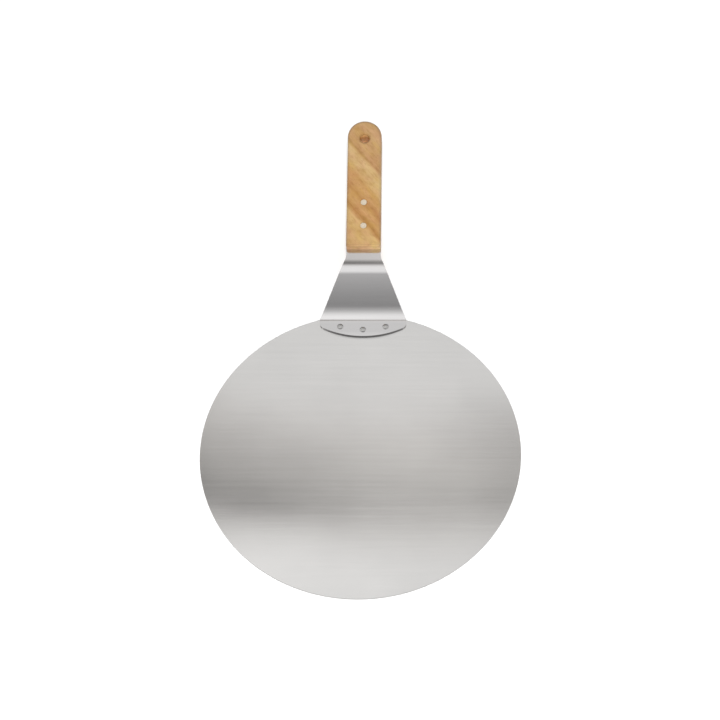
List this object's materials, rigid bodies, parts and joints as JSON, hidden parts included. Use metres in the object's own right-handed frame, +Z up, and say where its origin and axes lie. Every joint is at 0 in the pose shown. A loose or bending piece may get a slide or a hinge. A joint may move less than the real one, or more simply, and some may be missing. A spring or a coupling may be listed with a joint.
{
  "type": "pizza peel",
  "caption": "Short-handled pizza peel: round flat steel blade, bent riveted steel neck and a pinned wooden handle with a hanging hole.",
  "frame": {"origin": "centre of the round blade's underside", "axes": "+Z up, square to the blade; +Y from the blade's centre towards the handle; +X to the right seen from above with the handle away"},
  "size_m": [0.255, 0.4164, 0.0639],
  "materials": {
    "blade_steel": "fine brushed across the handle's direction",
    "neck_steel": "satin, smoother than the blade",
    "handle_wood": "oiled light hardwood",
    "handle_rivet_metal": "satin",
    "blade_rivet_steel": "satin"
  },
  "bodies": {
    "root": {"blade": "blade_steel", "neck_plate": "neck_steel", "handle": "handle_wood", "handle_rivet_front": "handle_rivet_metal", "handle_rivet_rear": "handle_rivet_metal", "blade_rivet_left": "blade_rivet_steel", "blade_rivet_centre": "blade_rivet_steel", "blade_rivet_right": "blade_rivet_steel"}
  },
  "joints": []
}
